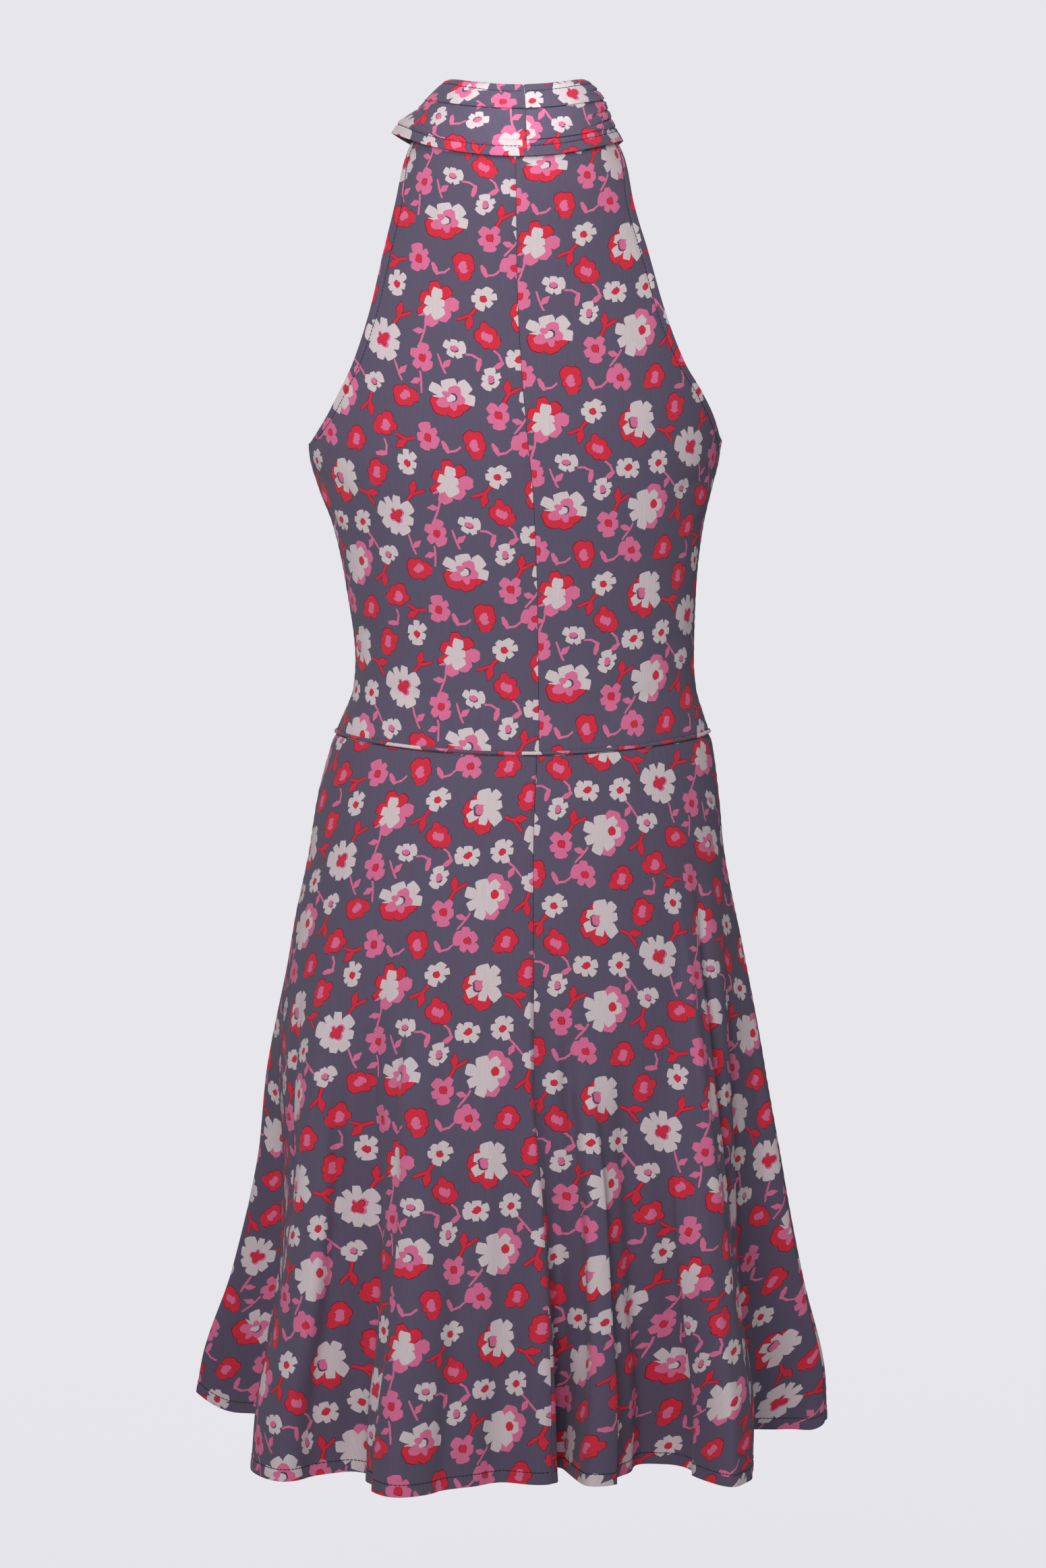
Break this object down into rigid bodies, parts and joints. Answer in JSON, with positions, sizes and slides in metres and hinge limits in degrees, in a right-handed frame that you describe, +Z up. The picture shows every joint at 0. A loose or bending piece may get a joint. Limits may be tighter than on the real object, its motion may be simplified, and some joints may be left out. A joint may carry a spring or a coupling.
{
  "type": "halter dress",
  "caption": "Sleeveless halter dress in printed jersey, with a high pleated collar, cut-in armholes, seamed waist and flared skirt in loose folds.",
  "frame": {"origin": "middle of the neck, level with the collar's lower edge at the sides, where the wearer's neck holds the dress", "axes": "+Z up, +X towards the wearer's right side, +Y towards the wearer's front, so the back shown in the picture faces -Y"},
  "size_m": [0.4824, 0.3865, 1.0064],
  "materials": {
    "printed_jersey": "matte jersey with a scattered flower print",
    "printed_jersey_collar": "matte jersey with a scattered flower print",
    "printed_jersey_piping": "matte jersey"
  },
  "bodies": {
    "root": {"back_bodice_left": "printed_jersey", "back_bodice_right": "printed_jersey", "front_bodice": "printed_jersey", "back_skirt_left": "printed_jersey", "back_skirt_right": "printed_jersey", "front_skirt": "printed_jersey", "waist_piping": "printed_jersey_piping", "collar": "printed_jersey_collar"}
  },
  "joints": []
}
